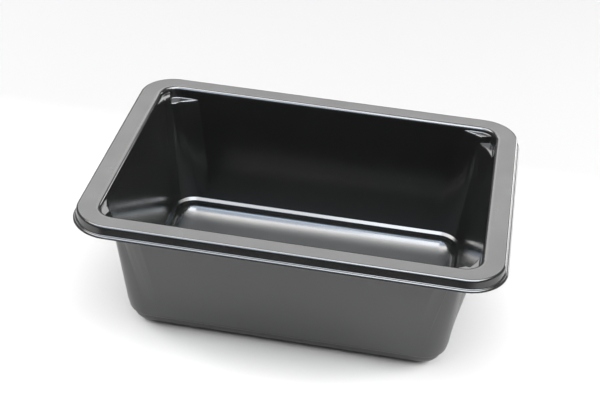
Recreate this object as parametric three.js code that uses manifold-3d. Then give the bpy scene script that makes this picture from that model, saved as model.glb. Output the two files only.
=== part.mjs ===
// A deep plastic meal tray, the kind a ready meal is sealed, chilled and heated in.
// One sheet of black crystallised PET is pressed into a mould and trimmed, so the whole tray is a
// single thin wall: a flat sealing rim that turns down at its outer edge and ends in a small lip,
// four drafted walls, a narrow ledge just above the foot, and a flat floor. In each corner two
// stacking lugs stand in from the walls, one high and one low, so that nested trays part easily.
//
// Millimetres, +Z up. The origin is the middle of the underside of the foot; the long side is X.

import * as THREE from 'three';
import { mergeVertices } from 'three/addons/utils/BufferGeometryUtils.js';
import Module from 'manifold-3d';

// ---- Driving dimensions -------------------------------------------------------------------

const overallLength = 188; // lip to lip along X
const overallWidth = 138; // lip to lip along Y
const overallHeight = 65.5; // foot to sealing rim
const sheet = 0.6; // wall thickness

// The rim, from its outer edge inwards.
const lipWidth = 1.3; // how far the trimmed lip stands out from the skirt
const lipEdge = 0.85; // radius where the lip turns down to its cut edge
const lipHeight = 0.95; // height of the lip's outer face, with that radius
const rimDrop = 4.3; // sealing face down to the top of the lip
const lipRoot = 0.45; // inside radius where the skirt turns out into the lip
const skirtFlare = THREE.MathUtils.degToRad(4); // lean of the skirt, which is wider at the lip
const rimEdge = 1.1; // radius of the rim's outer edge
const rimFlatAtEnds = 7.46; // flat sealing face on the two short sides
const rimFlatAtSides = 6.26; // flat sealing face on the two long sides
const rimCorner = 18.1; // plan radius of the lip's corners

// The walls, from the mouth down to the foot.
const mouthEdge = 1.8; // radius where the sealing face rolls over into the wall
const mouthCorner = 9.7; // plan radius of the inner edge of the sealing face
const draft = THREE.MathUtils.degToRad(8.8); // lean of the two long walls
const endDraft = THREE.MathUtils.degToRad(10); // lean of the two short end walls
const ledgeDepth = 57; // sealing face down to where the wall meets the ledge
const ledgeCorner = 10.7; // plan radius of the walls just above the ledge
const ledgeFall = THREE.MathUtils.degToRad(35); // fall of the ledge towards the middle
const ledgeRun = 1.5; // straight part of the ledge, down its slope
const ledgeHollow = 0.5; // radius between wall and ledge
const ledgeNose = 0.6; // radius over the ledge's inner edge
const floorEdgeOut = 9.4; // the floor turns up in a quarter of an ellipse, this far in plan
const floorEdgeUp = 6.2; // and this high
const floorCorner = 0.8; // plan radius of the flat floor's corners

// The stacking lugs stand in pairs, a high one on one wall of a corner and a low one on the wall
// beside it. In plan a point is [distance from the high lug's wall, distance from the low lug's].
const highShelf = 2.3; // depth of the high lugs' flat tops below the sealing face
const lowShelf = 5.4; // and of the low lugs'
const highFace = [[-1.2, 17.6], [0, 15.4], [1.3, 11.8], [3.1, 8.4], [4.1, 6.6]];
const lowFace = [[5, 6], [6.2, 5.4], [8.4, 3.6], [12, 1.6], [16.2, 0], [18.4, -1.2]];
const step = [[3.8, 5.7], [2.8, 4.3], [3.1, 0]]; // where the high top drops to the low one
const lugEdge = 0.7; // radius of the lugs' upper edges
const lugSink = 0.3; // how far behind the wall a lug's face has run by the time it meets the ledge
const behindWall = 4; // how far a lug's blank reaches out past the walls

const cornerSteps = 12; // straight pieces in a quarter turn of the plan outline
const arcStep = THREE.MathUtils.degToRad(22.5); // longest step round an arc of the cross-section
const wallRows = 3; // rings up the height of the wall

// ---- The cross-section --------------------------------------------------------------------

// A station is one point of the upper, food-side face of the sheet: how far in from the lip's
// edge it is, its height above the sealing face, the angle of the face's normal there (0 points
// out of the tray, 90 degrees up), and how far down the wall it lies, from 0 to 1.
const rightAngle = Math.PI / 2;
const wallFacing = Math.PI - draft;

// The point of an ellipse, seen from its middle, where it faces an angle.
function onEllipse(wide, tall, angle) {
  const [across, up] = [wide * Math.cos(angle), tall * Math.sin(angle)];
  const size = Math.hypot(across, up);
  return { across: (wide * across) / size, up: (tall * up) / size };
}

// Follows an arc, of a circle or of an ellipse, until the face looks the given way.
function bend(stations, wide, facing, tall = wide) {
  const from = stations.at(-1);
  const side = facing < from.facing ? -1 : 1;
  const start = onEllipse(wide, tall, from.facing);
  const steps = Math.ceil(Math.abs(facing - from.facing) / arcStep);
  for (let i = 1; i <= steps; i++) {
    const angle = from.facing + ((facing - from.facing) * i) / steps;
    const point = onEllipse(wide, tall, angle);
    const inward = from.inward + side * (start.across - point.across);
    const height = from.height + side * (point.up - start.up);
    stations.push({ ...from, inward, height, facing: angle });
  }
}

function run(stations, length, changes = {}) {
  const from = stations.at(-1);
  const inward = from.inward + length * Math.sin(from.facing);
  const height = from.height + length * Math.cos(from.facing);
  stations.push({ ...from, inward, height, ...changes });
}

function rimStations() {
  const stations = [{ inward: 0, height: -rimDrop - lipHeight, facing: 0, down: 0, mouth: false }];
  run(stations, lipHeight - lipEdge);
  bend(stations, lipEdge, rightAngle);
  run(stations, lipWidth - lipEdge - lipRoot);
  bend(stations, lipRoot, skirtFlare);
  const skirt = rimDrop - (lipRoot + rimEdge) * (1 - Math.sin(skirtFlare));
  run(stations, skirt / Math.cos(skirtFlare));
  bend(stations, rimEdge, rightAngle);
  return stations;
}

const rimInward = rimStations().at(-1).inward; // from the lip's edge in to the flat sealing face

function cavityStations(rim) {
  const stations = [{ ...rim.at(-1), mouth: true }];
  stations[0].inward += rimFlatAtEnds;
  bend(stations, mouthEdge, wallFacing);
  const top = -stations.at(-1).height;
  const wallLength = (ledgeDepth - top) / Math.cos(draft);
  for (let row = 1; row <= wallRows; row++) {
    run(stations, wallLength / wallRows, { down: row / wallRows });
  }
  bend(stations, ledgeHollow, rightAngle + ledgeFall);
  run(stations, ledgeRun);
  bend(stations, ledgeNose, wallFacing);
  const turnedUp = floorEdgeUp - onEllipse(floorEdgeOut, floorEdgeUp, wallFacing).up;
  const footWall = overallHeight - sheet - turnedUp + stations.at(-1).height;
  run(stations, footWall / Math.cos(draft));
  bend(stations, floorEdgeOut, rightAngle, floorEdgeUp);
  return stations;
}

// The under face of the sheet lies one sheet below the upper face, square to it.
function underside(station) {
  return {
    ...station,
    inward: station.inward + sheet * Math.cos(station.facing),
    height: station.height - sheet * Math.sin(station.facing),
  };
}

// ---- Solids from rings --------------------------------------------------------------------

// One station carried round the tray: a rectangle with round corners.
function ring(station) {
  const extraLean = (ledgeDepth - mouthEdge) * (Math.tan(endDraft) - Math.tan(draft));
  const alongX = overallLength / 2 - station.inward - extraLean * station.down;
  const narrower = station.mouth ? rimFlatAtEnds - rimFlatAtSides : 0;
  const alongY = overallWidth / 2 - station.inward + narrower;
  const mouthInward = rimInward + rimFlatAtEnds;
  const wallInward = (ledgeDepth - mouthEdge) * Math.tan(draft) + mouthEdge;
  const spread = (ledgeCorner - mouthCorner + wallInward) * station.down;
  const plain = station.mouth
    ? mouthCorner + mouthInward - station.inward + spread
    : rimCorner - station.inward;
  const corner = Math.max(plain, floorCorner);
  const points = [];
  for (const [signX, signY, turn] of [[1, 1, 0], [-1, 1, 1], [-1, -1, 2], [1, -1, 3]]) {
    const centreX = signX * (alongX - corner);
    const centreY = signY * (alongY - corner);
    for (let i = 0; i <= cornerSteps; i++) {
      const angle = (turn + i / cornerSteps) * rightAngle;
      const x = centreX + corner * Math.cos(angle);
      const y = centreY + corner * Math.sin(angle);
      points.push(new THREE.Vector3(x, y, overallHeight + station.height));
    }
  }
  return points;
}

// Skins a closed solid over rings of equal length, given from the bottom up, each of them
// counter-clockwise seen from above, and caps its two ends.
function skin(rings) {
  const count = rings[0].length;
  const indices = [];
  for (let row = 0; row < rings.length - 1; row++) {
    for (let i = 0; i < count; i++) {
      const next = (i + 1) % count;
      const [a, b] = [row * count + i, row * count + next];
      indices.push(a, b, b + count, a, b + count, a + count);
    }
  }
  const flat = (points) => points.map((point) => new THREE.Vector2(point.x, point.y));
  for (const [a, b, c] of THREE.ShapeUtils.triangulateShape(flat(rings[0]), [])) {
    indices.push(a, c, b);
  }
  const top = (rings.length - 1) * count;
  for (const [a, b, c] of THREE.ShapeUtils.triangulateShape(flat(rings.at(-1)), [])) {
    indices.push(top + a, top + b, top + c);
  }
  const geometry = new THREE.BufferGeometry().setFromPoints(rings.flat());
  geometry.setIndex(indices);
  return geometry;
}

const wasm = await Module();
wasm.setup();

function toSolid(geometry) {
  const merged = mergeVertices(geometry, 1e-4);
  const vertProperties = Float32Array.from(merged.attributes.position.array);
  const triVerts = Uint32Array.from(merged.index.array);
  return new wasm.Manifold(new wasm.Mesh({ numProp: 3, vertProperties, triVerts }));
}

function toGeometry(solid) {
  const { vertProperties, triVerts, numProp } = solid.getMesh();
  const geometry = new THREE.BufferGeometry();
  const positions = new Float32Array((vertProperties.length / numProp) * 3);
  for (let i = 0; i < positions.length / 3; i++) {
    positions.set(vertProperties.subarray(i * numProp, i * numProp + 3), i * 3);
  }
  geometry.setAttribute('position', new THREE.BufferAttribute(positions, 3));
  geometry.setIndex(new THREE.BufferAttribute(Uint32Array.from(triVerts), 1));
  geometry.computeVertexNormals();
  return geometry;
}

// ---- The stacking lugs --------------------------------------------------------------------

// Moves a plan outline sideways by a distance, square to its own line at every point.
function offsetOutline(outline, distance) {
  const points = outline.map(([x, y]) => new THREE.Vector2(x, y));
  return points.map((point, i) => {
    const before = points[Math.max(i - 1, 0)];
    const after = points[Math.min(i + 1, points.length - 1)];
    const along = after.clone().sub(before).normalize();
    return new THREE.Vector2(point.x - along.y * distance, point.y + along.x * distance);
  });
}

// How far from the middle of the tray a wall is at a depth, where its mouth starts to roll over
// at "flatEdge" from the middle.
function wallPlace(flatEdge, lean, depth) {
  return flatEdge - mouthEdge * Math.tan((rightAngle - lean) / 2) - depth * Math.tan(lean);
}

// A point of a lug's face at a depth. Below the low shelf the face runs back evenly, square to the
// wall, which turns the corner in an arc, and has sunk into it where it meets the ledge.
function fadedPoint([x, y], depth) {
  const fade = Math.max(depth - lowShelf, 0) / (ledgeDepth - lowShelf);
  const wallTop = mouthEdge * (1 - Math.sin(draft));
  const topCorner = mouthCorner - mouthEdge * Math.cos(draft);
  const corner = THREE.MathUtils.mapLinear(depth, wallTop, ledgeDepth, topCorner, ledgeCorner);
  const faded = (distance) => distance * (1 - fade) - lugSink * fade;
  if (y > corner) return [faded(x), y];
  if (x > corner) return [x, faded(y)];
  const fromCentre = Math.hypot(corner - x, corner - y);
  const scale = (corner - faded(corner - fromCentre)) / fromCentre;
  return [corner - (corner - x) * scale, corner - (corner - y) * scale];
}

// One level of a lug's block: its face, moved by "grow", and the straight lines that close it
// behind the two walls.
function lugRing({ signX, signY, highOnEnd }, points, grow, depth) {
  const flatEdgeX = overallLength / 2 - rimInward - rimFlatAtEnds;
  const flatEdgeY = overallWidth / 2 - rimInward - rimFlatAtSides;
  const wallX = wallPlace(flatEdgeX, endDraft, depth);
  const wallY = wallPlace(flatEdgeY, draft, depth);
  const face = offsetOutline(points.map((point) => fadedPoint(point, depth)), grow);
  const behind = [[face.at(-1).x, -behindWall], [-behindWall, -behindWall], [-behindWall, face[0].y]];
  const outline = [...face, ...behind.map(([x, y]) => new THREE.Vector2(x, y))];
  const corners = outline.map(({ x, y }) => {
    const [inX, inY] = highOnEnd ? [x, y] : [y, x];
    const z = overallHeight - depth;
    return new THREE.Vector3(signX * (wallX - inX), signY * (wallY - inY), z);
  });
  return THREE.ShapeUtils.area(corners) > 0 ? corners : corners.reverse();
}

// The block of space that a lug takes out of the tray's inside, and, one sheet smaller, the
// hollow that it leaves in the outside.
function lugBlock(place, points, shelf, bottom, thinner) {
  const top = shelf + thinner;
  const edge = Math.max(lugEdge - thinner, 0.1);
  const slant = edge * (1 - Math.SQRT1_2);
  const rings = [
    lugRing(place, points, -thinner, bottom),
    lugRing(place, points, -thinner, top + edge),
    lugRing(place, points, -thinner - slant, top + slant),
    lugRing(place, points, -thinner - edge, top),
  ];
  return toSolid(skin(rings));
}

// The end walls at -X carry high lugs and those at +X low ones, with the other kind beside each
// of them on the long wall, so a tray turned end for end rests on the one below it.
function lugBlocks(thinner) {
  const whole = [...highFace, ...lowFace];
  const high = [...highFace, ...step];
  return [[1, 1], [-1, 1], [-1, -1], [1, -1]].flatMap(([signX, signY]) => {
    const place = { signX, signY, highOnEnd: signX < 0 };
    return [
      lugBlock(place, whole, lowShelf, ledgeDepth, thinner),
      lugBlock(place, high, highShelf, lowShelf + lugEdge, thinner),
    ];
  });
}

// ---- The tray -----------------------------------------------------------------------------

function trayGeometry() {
  const rim = rimStations();
  const cavity = cavityStations(rim);
  const lipEdge = [underside(rim[0]), rim[0]];
  const under = [...rim.slice(1), ...cavity].map(underside).reverse();
  const body = skin([...under, ...lipEdge, ...rim.slice(1)].map(ring));
  const above = { ...cavity[0], height: sheet };
  const inside = skin([above, ...cavity].reverse().map(ring));
  let outer = toSolid(body);
  let inner = toSolid(inside);
  for (const hollow of lugBlocks(sheet)) outer = outer.subtract(hollow);
  for (const block of lugBlocks(0)) inner = inner.subtract(block);
  return toGeometry(outer.subtract(inner));
}

const blackSheet = new THREE.MeshStandardMaterial({ color: '#17181a', roughness: 0.35, metalness: 0 });

const tray = new THREE.Mesh(trayGeometry(), blackSheet);
tray.name = 'tray';

const model = new THREE.Group();
model.add(tray);

export default model;
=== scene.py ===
# %% [markdown]
# # A deep black meal tray
# The real tray is one sheet of black crystallised PET. It was warmed, drawn into a mould by
# vacuum and air, and trimmed, so every part of it is the same thin wall, folded and rounded by
# the mould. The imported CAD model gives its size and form. This lesson puts a much finer skin of
# the same form in its place, gives each part of the sheet its finish, and lights it.

# %% Load the frame
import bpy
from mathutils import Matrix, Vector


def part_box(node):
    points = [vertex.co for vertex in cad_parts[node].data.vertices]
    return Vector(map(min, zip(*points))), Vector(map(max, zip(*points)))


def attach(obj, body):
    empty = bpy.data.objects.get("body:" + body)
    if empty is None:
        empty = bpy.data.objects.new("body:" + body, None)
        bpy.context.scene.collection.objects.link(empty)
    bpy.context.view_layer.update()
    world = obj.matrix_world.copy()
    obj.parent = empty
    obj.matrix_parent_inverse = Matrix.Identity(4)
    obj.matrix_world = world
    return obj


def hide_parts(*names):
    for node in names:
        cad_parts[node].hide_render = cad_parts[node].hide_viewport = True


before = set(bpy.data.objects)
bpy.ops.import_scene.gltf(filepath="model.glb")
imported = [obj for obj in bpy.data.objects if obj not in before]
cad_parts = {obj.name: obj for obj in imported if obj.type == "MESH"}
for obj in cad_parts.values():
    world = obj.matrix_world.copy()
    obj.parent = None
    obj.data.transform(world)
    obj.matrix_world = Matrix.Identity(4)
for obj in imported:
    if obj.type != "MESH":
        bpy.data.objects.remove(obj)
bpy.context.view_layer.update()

import bpy
import numpy as np
from mathutils import Matrix

# %% [markdown]
# ## Sizes
# The tray could be measured off the CAD mesh point by point, but its maker thinks in a few
# numbers: three outer sizes, the widths of the rim, the leans of the walls and the radii. The
# outer sizes come from the frame, and the rest are the mould's own dimensions, in millimetres.

# %% Driving dimensions
MM = 0.001
low, high = (np.array(corner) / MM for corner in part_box("tray"))
length, width, height = high - low

sheet = 0.6             # wall thickness
lip_width = 1.3         # trimmed lip, out from the skirt
lip_edge = 0.85         # radius where the lip turns down to its cut edge
lip_height = 0.95       # the lip's outer face, with that radius
lip_root = 0.45         # radius where the skirt turns out into the lip
rim_drop = 4.3          # sealing face down to the top of the lip
skirt_flare = np.radians(4.0)  # lean of the skirt, which is wider at the lip
rim_edge = 1.1          # radius of the rim's outer edge
rim_at_ends = 7.46      # flat sealing face on the short sides
rim_at_sides = 6.26     # and on the long sides
rim_corner = 18.1       # plan radius of the lip's corners
mouth_edge = 1.8        # radius where the sealing face rolls over into the wall
mouth_corner = 9.7      # plan radius of the sealing face's inner edge
draft = np.radians(8.8)       # lean of the long walls
end_draft = np.radians(10.0)  # lean of the end walls
ledge_depth = 57.0      # sealing face down to the foot of the wall
ledge_corner = 10.7     # plan radius there
ledge_fall = np.radians(35.0)  # fall of the ledge towards the middle
ledge_run = 1.5         # its straight part, down the slope
ledge_hollow = 0.5      # radius between wall and ledge
ledge_nose = 0.6        # radius over the ledge's inner edge
floor_edge_out = 9.4    # the floor turns up in a quarter of an ellipse, this far in plan
floor_edge_up = 6.2     # and this high
floor_corner = 0.8      # smallest plan radius, left in the corners once that edge has used them up
print("tray, mm:", np.round((length, width, height), 2))

# %% [markdown]
# ## The cross-section
# Cut the tray across and its upper face is one line: lip, skirt, rim, rolled mouth, wall, ledge
# and floor. Bevels on a rough box could round it, but they'd fight in the corners, where several
# radii meet. So the line is drawn as a walk instead, as the mould maker draws it: each step is
# a straight run or an arc, and knows which way the face looks there. The other face of the sheet
# then comes for free, as the same walk moved by one thickness.
#
# On black gloss every radius is a line of light. The rim's edge, the lip and the ledge's nose are
# tight, so each mirrors a lamp as a thin line. The floor turns up in a wide, low curve, which is
# a quarter of an ellipse here, and spreads a lamp more softly.

# %% Walk along the section
RIGHT = np.pi / 2
WALL = np.pi - draft    # the way the long walls' inner face looks
ARC_STEP = np.radians(9.0)
LEAST_STEPS = 3
HOLD = 0.12             # a row this close to each arc keeps the flats beside it flat


def arc(walk, radius, facing, upright=None):
    """Adds an arc of an ellipse, or of a circle where its upright radius isn't given. The place
    moves by the change in the point where the ellipse faces that way: its squared radii times the
    facing's cosine and sine, over the length of the radii times them."""
    inward, depth, start = walk[-1]
    wide, tall = radius, upright or radius
    steps = max(int(np.ceil(abs(facing - start) / ARC_STEP)), LEAST_STEPS)
    angles = np.linspace(start, facing, steps + 1)
    across, up = wide * np.cos(angles), tall * np.sin(angles)
    scale = np.hypot(across, up) * (1 if facing > start else -1)
    across, up = wide * across / scale, tall * up / scale
    for i in range(1, steps + 1):
        walk.append((inward + across[0] - across[i], depth + up[0] - up[i], angles[i]))


def run(walk, distance):
    """Adds a straight run along the face, with a row close to each end of it."""
    inward, depth, facing = walk[-1]
    for step in (HOLD, distance - HOLD, distance):
        walk.append((inward + step * np.sin(facing), depth - step * np.cos(facing), facing))


rim_walk = [(0.0, rim_drop + lip_height, 0.0), (0.0, rim_drop + lip_edge, 0.0)]
arc(rim_walk, lip_edge, RIGHT)
rim_walk.append((lip_width - lip_root, rim_drop, RIGHT))
arc(rim_walk, lip_root, skirt_flare)
skirt = rim_drop - (lip_root + rim_edge) * (1 - np.sin(skirt_flare))
run(rim_walk, skirt / np.cos(skirt_flare))
arc(rim_walk, rim_edge, RIGHT)
rim_inward = rim_walk[-1][0]
rim_walk.append((rim_inward + HOLD, 0.0, RIGHT))
print("sealing face starts, mm inside the lip's edge:", round(float(rim_inward), 2))

mouth_inward = rim_inward + rim_at_ends
mouth_walk = [(mouth_inward - HOLD, 0.0, RIGHT), (mouth_inward, 0.0, RIGHT)]
arc(mouth_walk, mouth_edge, WALL)
wall_inward, wall_top, _ = mouth_walk[-1]

foot_walk = [(wall_inward + (ledge_depth - wall_top) * np.tan(draft), ledge_depth, WALL)]
arc(foot_walk, ledge_hollow, RIGHT + ledge_fall)
run(foot_walk, ledge_run)
arc(foot_walk, ledge_nose, WALL)
turned_up = [(0, 0, WALL)]
arc(turned_up, floor_edge_out, RIGHT, floor_edge_up)
foot_wall = height - sheet - turned_up[-1][1] - foot_walk[-1][1]
run(foot_walk, foot_wall / np.cos(draft))
arc(foot_walk, floor_edge_out, RIGHT, floor_edge_up)
print("straight wall of the foot, mm:", round(float(foot_wall), 2))
print("rows in the rim, mouth and foot:", len(rim_walk), len(mouth_walk), len(foot_walk))

# %% [markdown]
# ## Columns round the tray
# Seen from above, every row of the section is a rectangle with round corners. The tray's outline
# changes little along its straight sides and a lot in its corners, so the columns are crowded
# into the corners. Each corner is described once, in its own two distances: how far a point is
# from the wall that carries the high stacking lug and how far from the wall that carries the low
# one. Four copies, two of them run backwards, make the ring.

# %% Place the columns of one corner
LUG_ZONE = 11.0         # how far along the straight walls the crowded columns reach
NEAR_COLUMNS, FAR_COLUMNS, TURN_COLUMNS = 27, 7, 49
near = np.linspace(0, LUG_ZONE, NEAR_COLUMNS)
far = np.linspace(0, 1, FAR_COLUMNS)[1:]
turn = np.linspace(0, RIGHT, TURN_COLUMNS)
straight = np.concatenate([near[1:], np.full(len(far), LUG_ZONE)])
spread = np.concatenate([np.zeros(len(near) - 1), far])
blank = np.zeros(len(turn))

angle = np.concatenate([np.zeros(len(straight)), turn, np.full(len(straight), RIGHT)])
back_high = np.concatenate([straight[::-1], blank, 0 * straight])
rest_high = np.concatenate([spread[::-1], blank, 0 * straight])
back_low = np.concatenate([0 * straight, blank, straight])
rest_low = np.concatenate([0 * straight, blank, spread])
print("columns in a corner:", len(angle))


def outline(inward, down, mouth):
    """Half length, half width and corner radius of a row: the outer size less "inward". The end
    walls lean more than the long ones, so the half length also shrinks with "down", and the
    corners open out with it."""
    wall_run = ledge_depth - mouth_edge
    half_x = length / 2 - inward - wall_run * (np.tan(end_draft) - np.tan(draft)) * down
    half_y = width / 2 - inward + (rim_at_ends - rim_at_sides) * mouth
    opening = ledge_corner - mouth_corner + wall_run * np.tan(draft) + mouth_edge
    in_mouth = mouth_corner + mouth_inward - inward + opening * down
    radius = np.where(mouth, in_mouth, rim_corner - inward)
    return half_x, half_y, np.maximum(radius, floor_corner)


# %% [markdown]
# ## The stacking lugs
# Nested trays would jam, so each corner has two lugs that stand in from the walls, one higher
# than the other. A boolean cut could add them as blocks, but the sheet flows over the real ones
# in one skin. So each column of the corner is pushed inwards from its wall point to a point of
# the lugs' outline, and has a flat top at its lug's height. Columns are slanted so that one of
# them follows the line where the high top drops to the low one. Below the tops, the lugs' faces
# run back evenly into the walls and are gone at the ledge.

# %% Push the columns out to the lugs' outline
high_shelf, low_shelf = 2.3, 5.4    # depths of the two tops
lug_root, lug_edge = 0.5, 0.7       # radii at the back and the front of a top
lug_sink = 0.3                      # a face has run this far behind the wall at the ledge
lug_face = np.array([[-1.2, 17.6], [0, 15.4], [1.3, 11.8], [3.1, 8.4], [4.1, 6.6], [5, 6],
                     [6.2, 5.4], [8.4, 3.6], [12, 1.6], [16.2, 0], [18.4, -1.2]])
step_on_wall = 7.1      # where the step between the tops meets the wall, along its turned corner
step_on_face = 2.75     # and the same for the lugs' face
step_width = 0.5
slant_before, slant_after = 4.0, 5.0    # columns are slanted this far past both ends of the turn
corner = 8.0            # plan radius of the wall at the lugs' tops
FINE_POINTS, SOFTENING = 1201, 61       # points along the outline, and how many of them are averaged

# Every point of the outline has a foot on the wall: along the straight, round the arc, along the
# other straight. "along" is the distance of that foot from the start of the arc.
fine = np.linspace(0, len(lug_face) - 1, FINE_POINTS)
line = np.stack([np.interp(fine, np.arange(len(lug_face)), lug_face[:, i]) for i in (0, 1)])
soft = np.hanning(SOFTENING)
soft = soft / soft.sum()
padded = [np.pad(row, SOFTENING // 2, mode="edge") for row in line]
line = np.stack([np.convolve(row, soft, mode="valid") for row in padded])
from_high, from_low = line
in_arc = (from_high < corner) & (from_low < corner)
foot_angle = np.arctan2(corner - from_low, corner - from_high)
turn_end = corner * RIGHT
past_arc = np.where(from_low >= corner, corner - from_low, turn_end + from_high - corner)
foot = np.where(in_arc, corner * foot_angle, past_arc)

along = corner * angle - back_high + back_low
slant_start, slant_end = -slant_before, turn_end + slant_after
slanted = np.interp(along, (slant_start, step_on_wall, slant_end),
                    (slant_start, step_on_face, slant_end))
aim = np.where((along > slant_start) & (along < slant_end), slanted, along)
order = np.argsort(foot)
target = np.stack([np.interp(aim, foot[order], row[order]) for row in line])
wall_from_high = corner * (1 - np.cos(angle)) + back_low
wall_from_low = corner * (1 - np.sin(angle)) + back_high
push = target - np.stack([wall_from_high, wall_from_low])
standing = np.where(along < 0, push[0], np.where(along > turn_end, push[1], np.hypot(*push)))
standing = np.where(rest_high + rest_low > 0, 0, np.maximum(standing, 0))
push = np.where(standing > 0, push / np.maximum(np.hypot(*push), 1e-9), 0)
print("deepest lug column, mm:", round(float(standing.max()), 2))

# %% [markdown]
# The rows of the wall are flat in the straight parts of the tray and bend over the lugs in its
# corners. A top narrows to nothing at both ends of a lug, so its two radii can't stay at their
# full size there. They shrink with it, and the lug melts into the wall.

# %% Rows down the wall
TOP_ROWS = (0.4, 1.0)   # shares of the way from the rolled mouth down to a lug's root
SHELF_ROWS = (0.12, 0.5, 0.88)  # shares of the way across a flat top
FACE_ROWS = (0.02, 0.08, 0.16, 0.25, 0.35, 0.45,    # and of the way down a face to the ledge
             0.55, 0.65, 0.75, 0.85, 0.93, 0.98)
ROOT_BENDS, EDGE_BENDS = 6, 7   # rows round the two radii of a top
root_share, edge_share = 0.35, 0.45     # the most of a narrow top that its two radii take up
least_edge = 0.15       # the under face's edge radius, where the sheet would use it all up


def shelf_depth(shift):
    """Depth of the top in each column: high before the step and low after it, with a smooth step,
    three times the squared place less twice its cube."""
    place = np.clip((along - step_on_wall + shift) / step_width + 0.5, 0, 1)
    return high_shelf + (low_shelf - high_shelf) * place * place * (3 - 2 * place)


def wall_rows(offset):
    """The wall with its lugs, for the face that lies "offset" below the food side. Each row has a
    depth and a push in every column: down the wall, round a quarter of an ellipse onto the flat
    top, across it, round another over its edge, and down the fading face."""
    edge_drop = max(lug_edge - offset, least_edge)
    root = np.minimum(lug_root + offset, root_share * standing)
    edge = np.minimum(edge_drop, edge_share * standing)
    shelf = shelf_depth(offset) + offset
    top = shelf - lug_root - offset
    rows = []
    for share in TOP_ROWS:
        rows.append((wall_top + share * (top - wall_top), 0 * shelf))
    for bend in np.linspace(0, RIGHT, ROOT_BENDS)[1:]:
        rows.append((top + (lug_root + offset) * np.sin(bend), root * (1 - np.cos(bend))))
    for share in SHELF_ROWS:
        rows.append((shelf, root + share * (standing - edge - root)))
    for bend in np.linspace(0, RIGHT, EDGE_BENDS):
        rows.append((shelf + edge_drop * (1 - np.cos(bend)), standing - edge * (1 - np.sin(bend))))
    start = shelf + edge_drop
    for share in FACE_ROWS:
        depth = start + share * (ledge_depth - start)
        fade = np.clip((depth - low_shelf) / (ledge_depth - low_shelf), 0, 1)
        rows.append((depth, np.maximum(standing * (1 - fade) - lug_sink * fade, 0)))
    return rows


print("rows down the wall:", len(wall_rows(0.0)))

# %% [markdown]
# ## The skin
# Both faces of the sheet are grids of the same columns, so they are joined along the cut edge of
# the lip and each is closed by one point in the middle of its floor. A Solidify modifier would
# give the thickness too, but it would fold over itself under the small radii of the lugs.

# %% Turn rows and columns into points
CORNERS = ((-1, -1, False), (1, -1, False), (1, 1, True), (-1, 1, True))    # signs, and if backwards
FLOOR_RINGS = (0.97, 0.8, 0.5, 0.2)     # rings on the flat floor, as shares of its outline


def face_points(offset):
    """The grid of points of the face that lies "offset" below the food side: (rows, columns, 3).
    A point is moved by "offset" against the way its face looks."""
    rows = []
    for inward, depth, facing in rim_walk:
        rows.append((inward + offset * np.cos(facing), depth + offset * np.sin(facing), 0, False, 0))
    for inward, depth, facing in mouth_walk:
        rows.append((inward + offset * np.cos(facing), depth + offset * np.sin(facing), 0, True, 0))
    for depth, pushed in wall_rows(offset):
        inward = wall_inward + (depth - wall_top) * np.tan(draft) - offset / np.cos(draft)
        down = (depth - wall_top) / (ledge_depth - wall_top)
        rows.append((inward, depth, down, True, pushed))
    for inward, depth, facing in foot_walk:
        rows.append((inward + offset * np.cos(facing), depth + offset * np.sin(facing), 1, True, 0))
    inward, depth, down, mouth, pushed = (
        np.stack([np.broadcast_to(row[i], angle.shape) for row in rows]) for i in range(5))
    half_x, half_y, radius = outline(inward, down, mouth)
    grids = []
    for sign_x, sign_y, backwards in CORNERS:
        high_run, low_run = (half_y, half_x) if sign_x < 0 else (half_x, half_y)
        in_high = radius * (1 - np.cos(angle)) + back_low + rest_low * (low_run - radius - LUG_ZONE)
        in_low = radius * (1 - np.sin(angle)) + back_high + rest_high * (high_run - radius - LUG_ZONE)
        in_high = in_high + pushed * push[0]
        in_low = in_low + pushed * push[1]
        in_x, in_y = (in_high, in_low) if sign_x < 0 else (in_low, in_high)
        grid = np.stack([sign_x * (half_x - in_x), sign_y * (half_y - in_y), height - depth], -1)
        grids.append(grid[:, ::-1][:, :-1] if backwards else grid[:, :-1])
    ring = np.concatenate(grids, axis=1)
    floor_rings = [ring[-1] * (share, share, 1) for share in FLOOR_RINGS]
    return np.concatenate([ring, np.stack(floor_rings)])


upper = face_points(0.0)
under = face_points(sheet)
row_count, column_count = upper.shape[:2]
print("grid:", row_count, "rows x", column_count, "columns on each face")

# %% [markdown]
# Quads join neighbouring rows and columns. Going round the tray and then inwards turns upwards,
# so the under face takes its corners in the other order, and so does the cut edge of the lip.

# %% Join the two faces into one mesh
CREASE = np.radians(40)     # edges that turn more than this stay sharp, as the lip's cut ones do


def quads(first, second):
    """Quads between two rings of point numbers."""
    return np.stack([first, np.roll(first, -1), np.roll(second, -1), second], -1)


def fan(ring, pole):
    """Triangles between a ring of point numbers and the one point in its middle."""
    return np.stack([ring, np.roll(ring, -1), np.full(len(ring), pole)], -1)


numbers = np.arange(row_count * column_count).reshape(row_count, column_count)
below = numbers + numbers.size
pole_up, pole_down = 2 * numbers.size, 2 * numbers.size + 1
faces_up = [quads(numbers[i], numbers[i + 1]) for i in range(row_count - 1)]
faces_down = [quads(below[i], below[i + 1])[:, ::-1] for i in range(row_count - 1)]
lip_cut = quads(below[0], numbers[0])
fan_up, fan_down = fan(numbers[-1], pole_up), fan(below[-1], pole_down)[:, ::-1]

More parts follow.
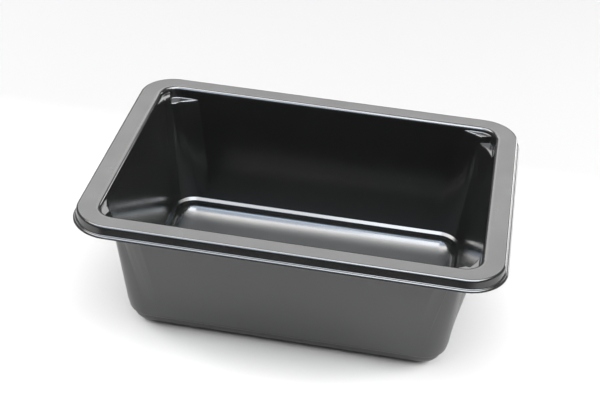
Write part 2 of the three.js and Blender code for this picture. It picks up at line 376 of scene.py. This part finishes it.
points = np.concatenate([upper.reshape(-1, 3), under.reshape(-1, 3), [(0, 0, sheet), (0, 0, 0)]])
quad_faces = np.concatenate([*faces_up, *faces_down, lip_cut])
faces = [*quad_faces.tolist(), *fan_up.tolist(), *fan_down.tolist()]
mesh = bpy.data.meshes.new("tray_skin")
mesh.from_pydata((points * MM).tolist(), [], faces)
mesh.validate()
mesh.polygons.foreach_set("use_smooth", np.ones(len(mesh.polygons), bool))
mesh.set_sharp_from_angle(angle=CREASE)
skin = bpy.data.objects.new("tray_skin", mesh)
bpy.context.scene.collection.objects.link(skin)
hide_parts("tray")
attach(skin, "root")
print("faces:", len(faces), "triangles:", 2 * len(quad_faces) + len(fan_up) + len(fan_down))

# %% [markdown]
# ## The finish of the sheet
# PET with black pigment is nearly black, and most of what the eye sees on it is light that its
# surface mirrors. So the finish is mostly in the roughness. The outside, taken to be the side
# that lay against the mould, is satin. The sealing face is satin as well, the food side is glossy,
# and the floor is duller than the rest of it. Each was matched to the reflections in the picture.
# Photographed grain would be one way to make the surface. A fine noise half a millimetre wide is
# enough here, because the eye only reads it as a faint unevenness of the reflections.

# %% Helpers for materials
def linear(hex_colour):
    """An sRGB hex colour as linear red, green, blue and alpha."""
    parts = np.array([int(hex_colour[i:i + 2], 16) / 255 for i in (1, 3, 5)])
    parts = np.where(parts <= 0.04045, parts / 12.92, ((parts + 0.055) / 1.055) ** 2.4)
    return (*parts.tolist(), 1.0)


def add(tree, kind, settings=None, links=None):
    """Adds a node, sets its properties or input values, and links its inputs to other outputs."""
    node = tree.nodes.new(kind)
    for name, value in (settings or {}).items():
        if name in node.inputs:
            node.inputs[name].default_value = value
        else:
            setattr(node, name, value)
    for name, output in (links or {}).items():
        tree.links.new(output, node.inputs[name])
    return node


def new_material(name):
    """A material with an empty node tree."""
    material = bpy.data.materials.new(name)
    material.use_nodes = True
    material.node_tree.nodes.clear()
    return material


# %% Black sheet, three finishes
GRAIN = 0.5 * MM        # width of the grain
PATCH = 14 * MM         # size of the patches where the sheet is a little duller or glossier
PATCH_ROUGHNESS = 0.03  # how much the roughness changes between them
NOISE_LOW, NOISE_HIGH = 0.3, 0.7    # most of a noise lies between these
FLOOR_BAND = 0.4 * floor_edge_up * MM   # the floor's satin has faded at this height above it
PET_INDEX = 1.58


def black_pet(name, colour, roughness, grain_height, on_floor=None, specular=0.5):
    """Crystallised PET with black pigment. Its roughness is "roughness" plus a little that changes
    from patch to patch, and reaches "on_floor" on the floor where that is given."""
    material = new_material(name)
    tree = material.node_tree
    place = add(tree, "ShaderNodeTexCoord").outputs["Object"]
    grain = add(tree, "ShaderNodeTexNoise", {"Scale": 1 / GRAIN, "Detail": 2.0}, {"Vector": place})
    patch = add(tree, "ShaderNodeTexNoise", {"Scale": 1 / PATCH, "Detail": 3.0}, {"Vector": place})
    uneven = add(tree, "ShaderNodeMapRange",
                 {"From Min": NOISE_LOW, "From Max": NOISE_HIGH,
                  "To Min": roughness - PATCH_ROUGHNESS, "To Max": roughness + PATCH_ROUGHNESS},
                 {"Value": patch.outputs["Fac"]})
    above_foot = add(tree, "ShaderNodeSeparateXYZ", {}, {"Vector": place}).outputs["Z"]
    floor_satin = add(tree, "ShaderNodeMapRange",
                      {"From Min": sheet * MM, "From Max": sheet * MM + FLOOR_BAND,
                       "To Min": (on_floor or roughness) - roughness, "To Max": 0.0},
                      {"Value": above_foot})
    rough = add(tree, "ShaderNodeMath", {"operation": "ADD"},
                {0: uneven.outputs["Result"], 1: floor_satin.outputs["Result"]})
    relief = add(tree, "ShaderNodeBump", {"Strength": 1.0, "Distance": grain_height},
                 {"Height": grain.outputs["Fac"]})
    shader = add(tree, "ShaderNodeBsdfPrincipled",
                 {"Base Color": linear(colour), "IOR": PET_INDEX, "Specular IOR Level": specular},
                 {"Roughness": rough.outputs["Value"], "Normal": relief.outputs["Normal"]})
    add(tree, "ShaderNodeOutputMaterial", {}, {"Surface": shader.outputs["BSDF"]})
    return material


# The food side is the glossiest, so it mirrors the lamps as bands with soft ends. Its floor is
# duller, and spreads them wider.
food_side = black_pet("crystallised_pet_food_side", "#121312", 0.16, 0.001 * MM, on_floor=0.5)
# The outside is satin, and spreads the light of the paper round it into an even grey. Its
# specular level is 0.6, where 0.5 is the usual one, and was matched to the picture as well. Its
# base colour is lighter than the food side's, though the pigment is one: painted light, which
# lifts the outer walls to their grey.
mould_side = black_pet("crystallised_pet_mould_side", "#262726", 0.35, 0.002 * MM, specular=0.6)
# The sealing face is flat and satin, so it looks like one even grey.
sealing_face = black_pet("crystallised_pet_sealing_face", "#191a19", 0.3, 0.003 * MM)
FOOD, MOULD, SEALING = 0, 1, 2
for material in (food_side, mould_side, sealing_face):
    mesh.materials.append(material)
side = np.full(len(mesh.polygons), FOOD, np.int32)
side[(row_count - 1) * column_count:len(quad_faces)] = MOULD
side[len(quad_faces) + len(fan_up):] = MOULD
side[(len(rim_walk) - 2) * column_count:len(rim_walk) * column_count] = SEALING
mesh.polygons.foreach_set("material_index", side)
print("materials:", [material.name for material in mesh.materials])

# %% [markdown]
# ## Floor, light and camera
# The tray stands on plain white paper that fills the picture. The paper is a light grey in
# itself, and the lamps bring it to white. One even grey would be simpler, but the far paper came
# out washed out with it. So the grey falls off towards the back: painted shade, which darkens the
# far paper to an off-white.

# %% White paper
def sheet_of(name, x, y, z, material):
    """A flat rectangle between two values of x and two of y, in metres, for the stage."""
    corners = [(x[0], y[0], z), (x[1], y[0], z), (x[1], y[1], z), (x[0], y[1], z)]
    plane = bpy.data.meshes.new(name)
    plane.from_pydata(corners, [], [(0, 1, 2, 3)])
    plane.materials.append(material)
    thing = bpy.data.objects.new(name, plane)
    bpy.context.scene.collection.objects.link(thing)
    return thing


REACH = 6.0             # the paper's half size
FADE_START, FADE_END = 0.02, 0.14   # the paper's shading runs between these values of y
NEAR_SHADE = linear("#b2b2b2")[0]
# The far paper's grey is darkened by painted shade.
FAR_PAINTED_SHADE = 0.62 * NEAR_SHADE

paper = new_material("white_paper")
tree = paper.node_tree
place = add(tree, "ShaderNodeTexCoord").outputs["Object"]
back_on_paper = add(tree, "ShaderNodeSeparateXYZ", {}, {"Vector": place}).outputs["Y"]
# Painted shade: the paper's grey darkens towards the back.
painted_paper_shade = add(tree, "ShaderNodeMapRange",
            {"From Min": FADE_START, "From Max": FADE_END, "To Min": NEAR_SHADE, "To Max": FAR_PAINTED_SHADE},
            {"Value": back_on_paper})
matt_paper = add(tree, "ShaderNodeBsdfDiffuse", {}, {"Color": painted_paper_shade.outputs["Result"]})
add(tree, "ShaderNodeOutputMaterial", {}, {"Surface": matt_paper.outputs["BSDF"]})
floor = sheet_of("floor", (-REACH, REACH), (-REACH, REACH), 0, paper)
print("paper, m:", 2 * REACH)

# %% [markdown]
# Black gloss looks like what it mirrors, and white paper like how much light falls on it. One
# set of lamps could do both, but then each reflection would also change the ground. So most
# lamps here are seen by the gloss alone or by the matt paper alone. Their places and brightness
# were matched to the picture, and aren't those of any studio.

# %% Lights
ROOM_LIGHT = 0.4
world = bpy.data.worlds.new("white_room")
world.use_nodes = True
world.node_tree.nodes["Background"].inputs["Color"].default_value = linear("#fbfbfb")
world.node_tree.nodes["Background"].inputs["Strength"].default_value = ROOM_LIGHT
bpy.context.scene.world = world
GLOSS, MATT = ["gloss"], ["matt"]
OVERHEAD = 0.99         # a lamp that looks down more steeply than this has no level side


def softbox(name, place, size, brightness, colour="#ffffff", aim=(0, 0, 0.03),
            lights=("gloss", "matt")):
    """A rectangular lamp at a place in metres, turned to face "aim". Its brightness is 1 where it
    would just look white, so its power is that times pi times its area."""
    data = bpy.data.lights.new(name, "AREA")
    data.shape = "RECTANGLE"
    data.size, data.size_y = size
    data.energy = brightness * np.pi * size[0] * size[1]
    data.color = linear(colour)[:3]
    lamp = bpy.data.objects.new(name, data)
    bpy.context.scene.collection.objects.link(lamp)
    back = np.array(place, float) - aim
    back = back / np.linalg.norm(back)
    right = np.cross((0, 0, 1) if abs(back[2]) < OVERHEAD else (0, 1, 0), back)
    right = right / np.linalg.norm(right)
    matrix = np.eye(4)
    matrix[:3, :3] = np.stack([right, np.cross(back, right), back], -1)
    matrix[:3, 3] = place
    lamp.matrix_world = Matrix(matrix.tolist())
    lamp.visible_glossy = "gloss" in lights
    lamp.visible_diffuse = "matt" in lights


# Four boxes overhead are mirrored inside the tray. The rear two give the floor its broad bright
# band. The front two give the thin lines behind that band, and the glow on the end walls. Along
# the front of the rim, the rear ones draw its edge on the left and the front ones on the right.
softbox("rear_left_softbox", (-0.65, 0.05, 1.3), (1.1, 0.7), 15, "#fffcfa", (-0.65, 0.05, 0), GLOSS)
softbox("rear_right_softbox", (0.45, 0.17, 1.3), (1.1, 0.46), 8, "#fffcfa", (0.45, 0.17, 0), GLOSS)
softbox("front_right_softbox", (0.45, -0.51, 1.3), (1.1, 0.9), 20, "#f4f9ff", (0.45, -0.51, 0), GLOSS)
softbox("front_left_softbox", (-0.65, -0.85, 1.3), (1.1, 1.1), 8, "#dceaff", (-0.65, -0.85, 0), GLOSS)
# Three lamps bring the paper to white. They hang lower than the boxes, because two lamps in one
# plane block each other's light.
softbox("paper_lamp", (-0.1, -0.51, 1.2), (1.5, 1.2), 5.4, "#ffffff", (-0.1, -0.51, 0), MATT)
softbox("left_paper_lamp", (-1.2, 0.1, 0.7), (0.9, 0.9), 11.5, "#ffffff", (-0.1, 0, 0), MATT)
softbox("right_paper_lamp", (1.2, 0.1, 0.7), (0.9, 0.9), 17, "#ffffff", (0.1, 0, 0), MATT)
# The box behind the tray is mirrored by the flat sealing face, and lights the far paper a little.
softbox("back_softbox", (-0.22, 1.24, 1.02), (1.56, 0.7), 4.1)
# A small card draws the bright line down the rim's right edge, and a fine one down the left mouth.
softbox("side_card", (0.42, 0.5, 0.115), (0.26, 0.22), 8, "#ffffff", (0.09, 0, 0.115), GLOSS)
# A window behind the camera adds a cool line inside, along the back of the floor.
softbox("window", (0.3, -1.5, 1.45), (2.2, 0.5), 9, "#cfe3fb", lights=GLOSS)

# %% [markdown]
# The skirt under the rim is almost black on the real tray. Seen from above, it mirrors what lies
# low in front of the tray, so that has to be dark, as a studio may be beyond its table. A room could
# be built round the scene. A dark sheet over the paper, hidden from the camera and seen by the gloss
# alone, gives the skirt the same thing to mirror instead: painted shade in place of the unlit room.

# %% Dark room in front
SHADE_SHEET_NEAR, SHADE_SHEET_FAR = -0.17, -1.4   # its edges nearest to and furthest from the tray, in y
SHADE_SHEET_SIDE = 1.5         # its half width
JUST_ABOVE = 0.001      # clear of the paper
# Painted shade: a dark grey sheet that stands in for the unlit room in front of the table.
shade_sheet = new_material("painted_shade_sheet")
matt_shade_sheet = add(shade_sheet.node_tree, "ShaderNodeBsdfDiffuse", {"Color": linear("#3c3c3c")})
add(shade_sheet.node_tree, "ShaderNodeOutputMaterial", {}, {"Surface": matt_shade_sheet.outputs["BSDF"]})
dark_room = sheet_of("dark_room", (-SHADE_SHEET_SIDE, SHADE_SHEET_SIDE), (SHADE_SHEET_FAR, SHADE_SHEET_NEAR), JUST_ABOVE, shade_sheet)
dark_room.visible_camera = False
dark_room.visible_diffuse = False
dark_room.visible_shadow = False
print("dark felt, y in m:", SHADE_SHEET_NEAR, SHADE_SHEET_FAR)

# %% [markdown]
# The camera looks down at the tray's front from a little to its right, and is rolled a little, so
# the rim slopes across the picture. It could be set by eye. It was fitted to the lines of the rim
# and the foot instead, with the tray's size taken as known. Those lines alone don't settle it: a
# longer lens and a wider tray fit them about as well.

# %% Camera
camera_place = np.array([70.9, -530.1, height + 334.4]) * MM
yaw, pitch, roll = np.radians((7.94, 33.31, 3.76))
back = np.array([np.sin(yaw) * np.cos(pitch), -np.cos(yaw) * np.cos(pitch), np.sin(pitch)])
right = np.array([np.cos(yaw), np.sin(yaw), 0])
above = np.cross(back, right)
camera_data = bpy.data.cameras.new("camera")
camera_data.lens, camera_data.sensor_width = 83.35, 36.0
camera_data.clip_start, camera_data.clip_end = 0.01, 30
camera = bpy.data.objects.new("camera", camera_data)
bpy.context.scene.collection.objects.link(camera)
matrix = np.eye(4)
matrix[:3, :3] = np.stack([np.cos(roll) * right + np.sin(roll) * above,
                           np.cos(roll) * above - np.sin(roll) * right, back], -1)
matrix[:3, 3] = camera_place
camera.matrix_world = Matrix(matrix.tolist())
bpy.context.scene.camera = camera
bpy.context.scene.view_settings.view_transform = "Standard"
print("camera at, m:", np.round(camera_place, 4))

# %% Update the scene
bpy.context.view_layer.update()
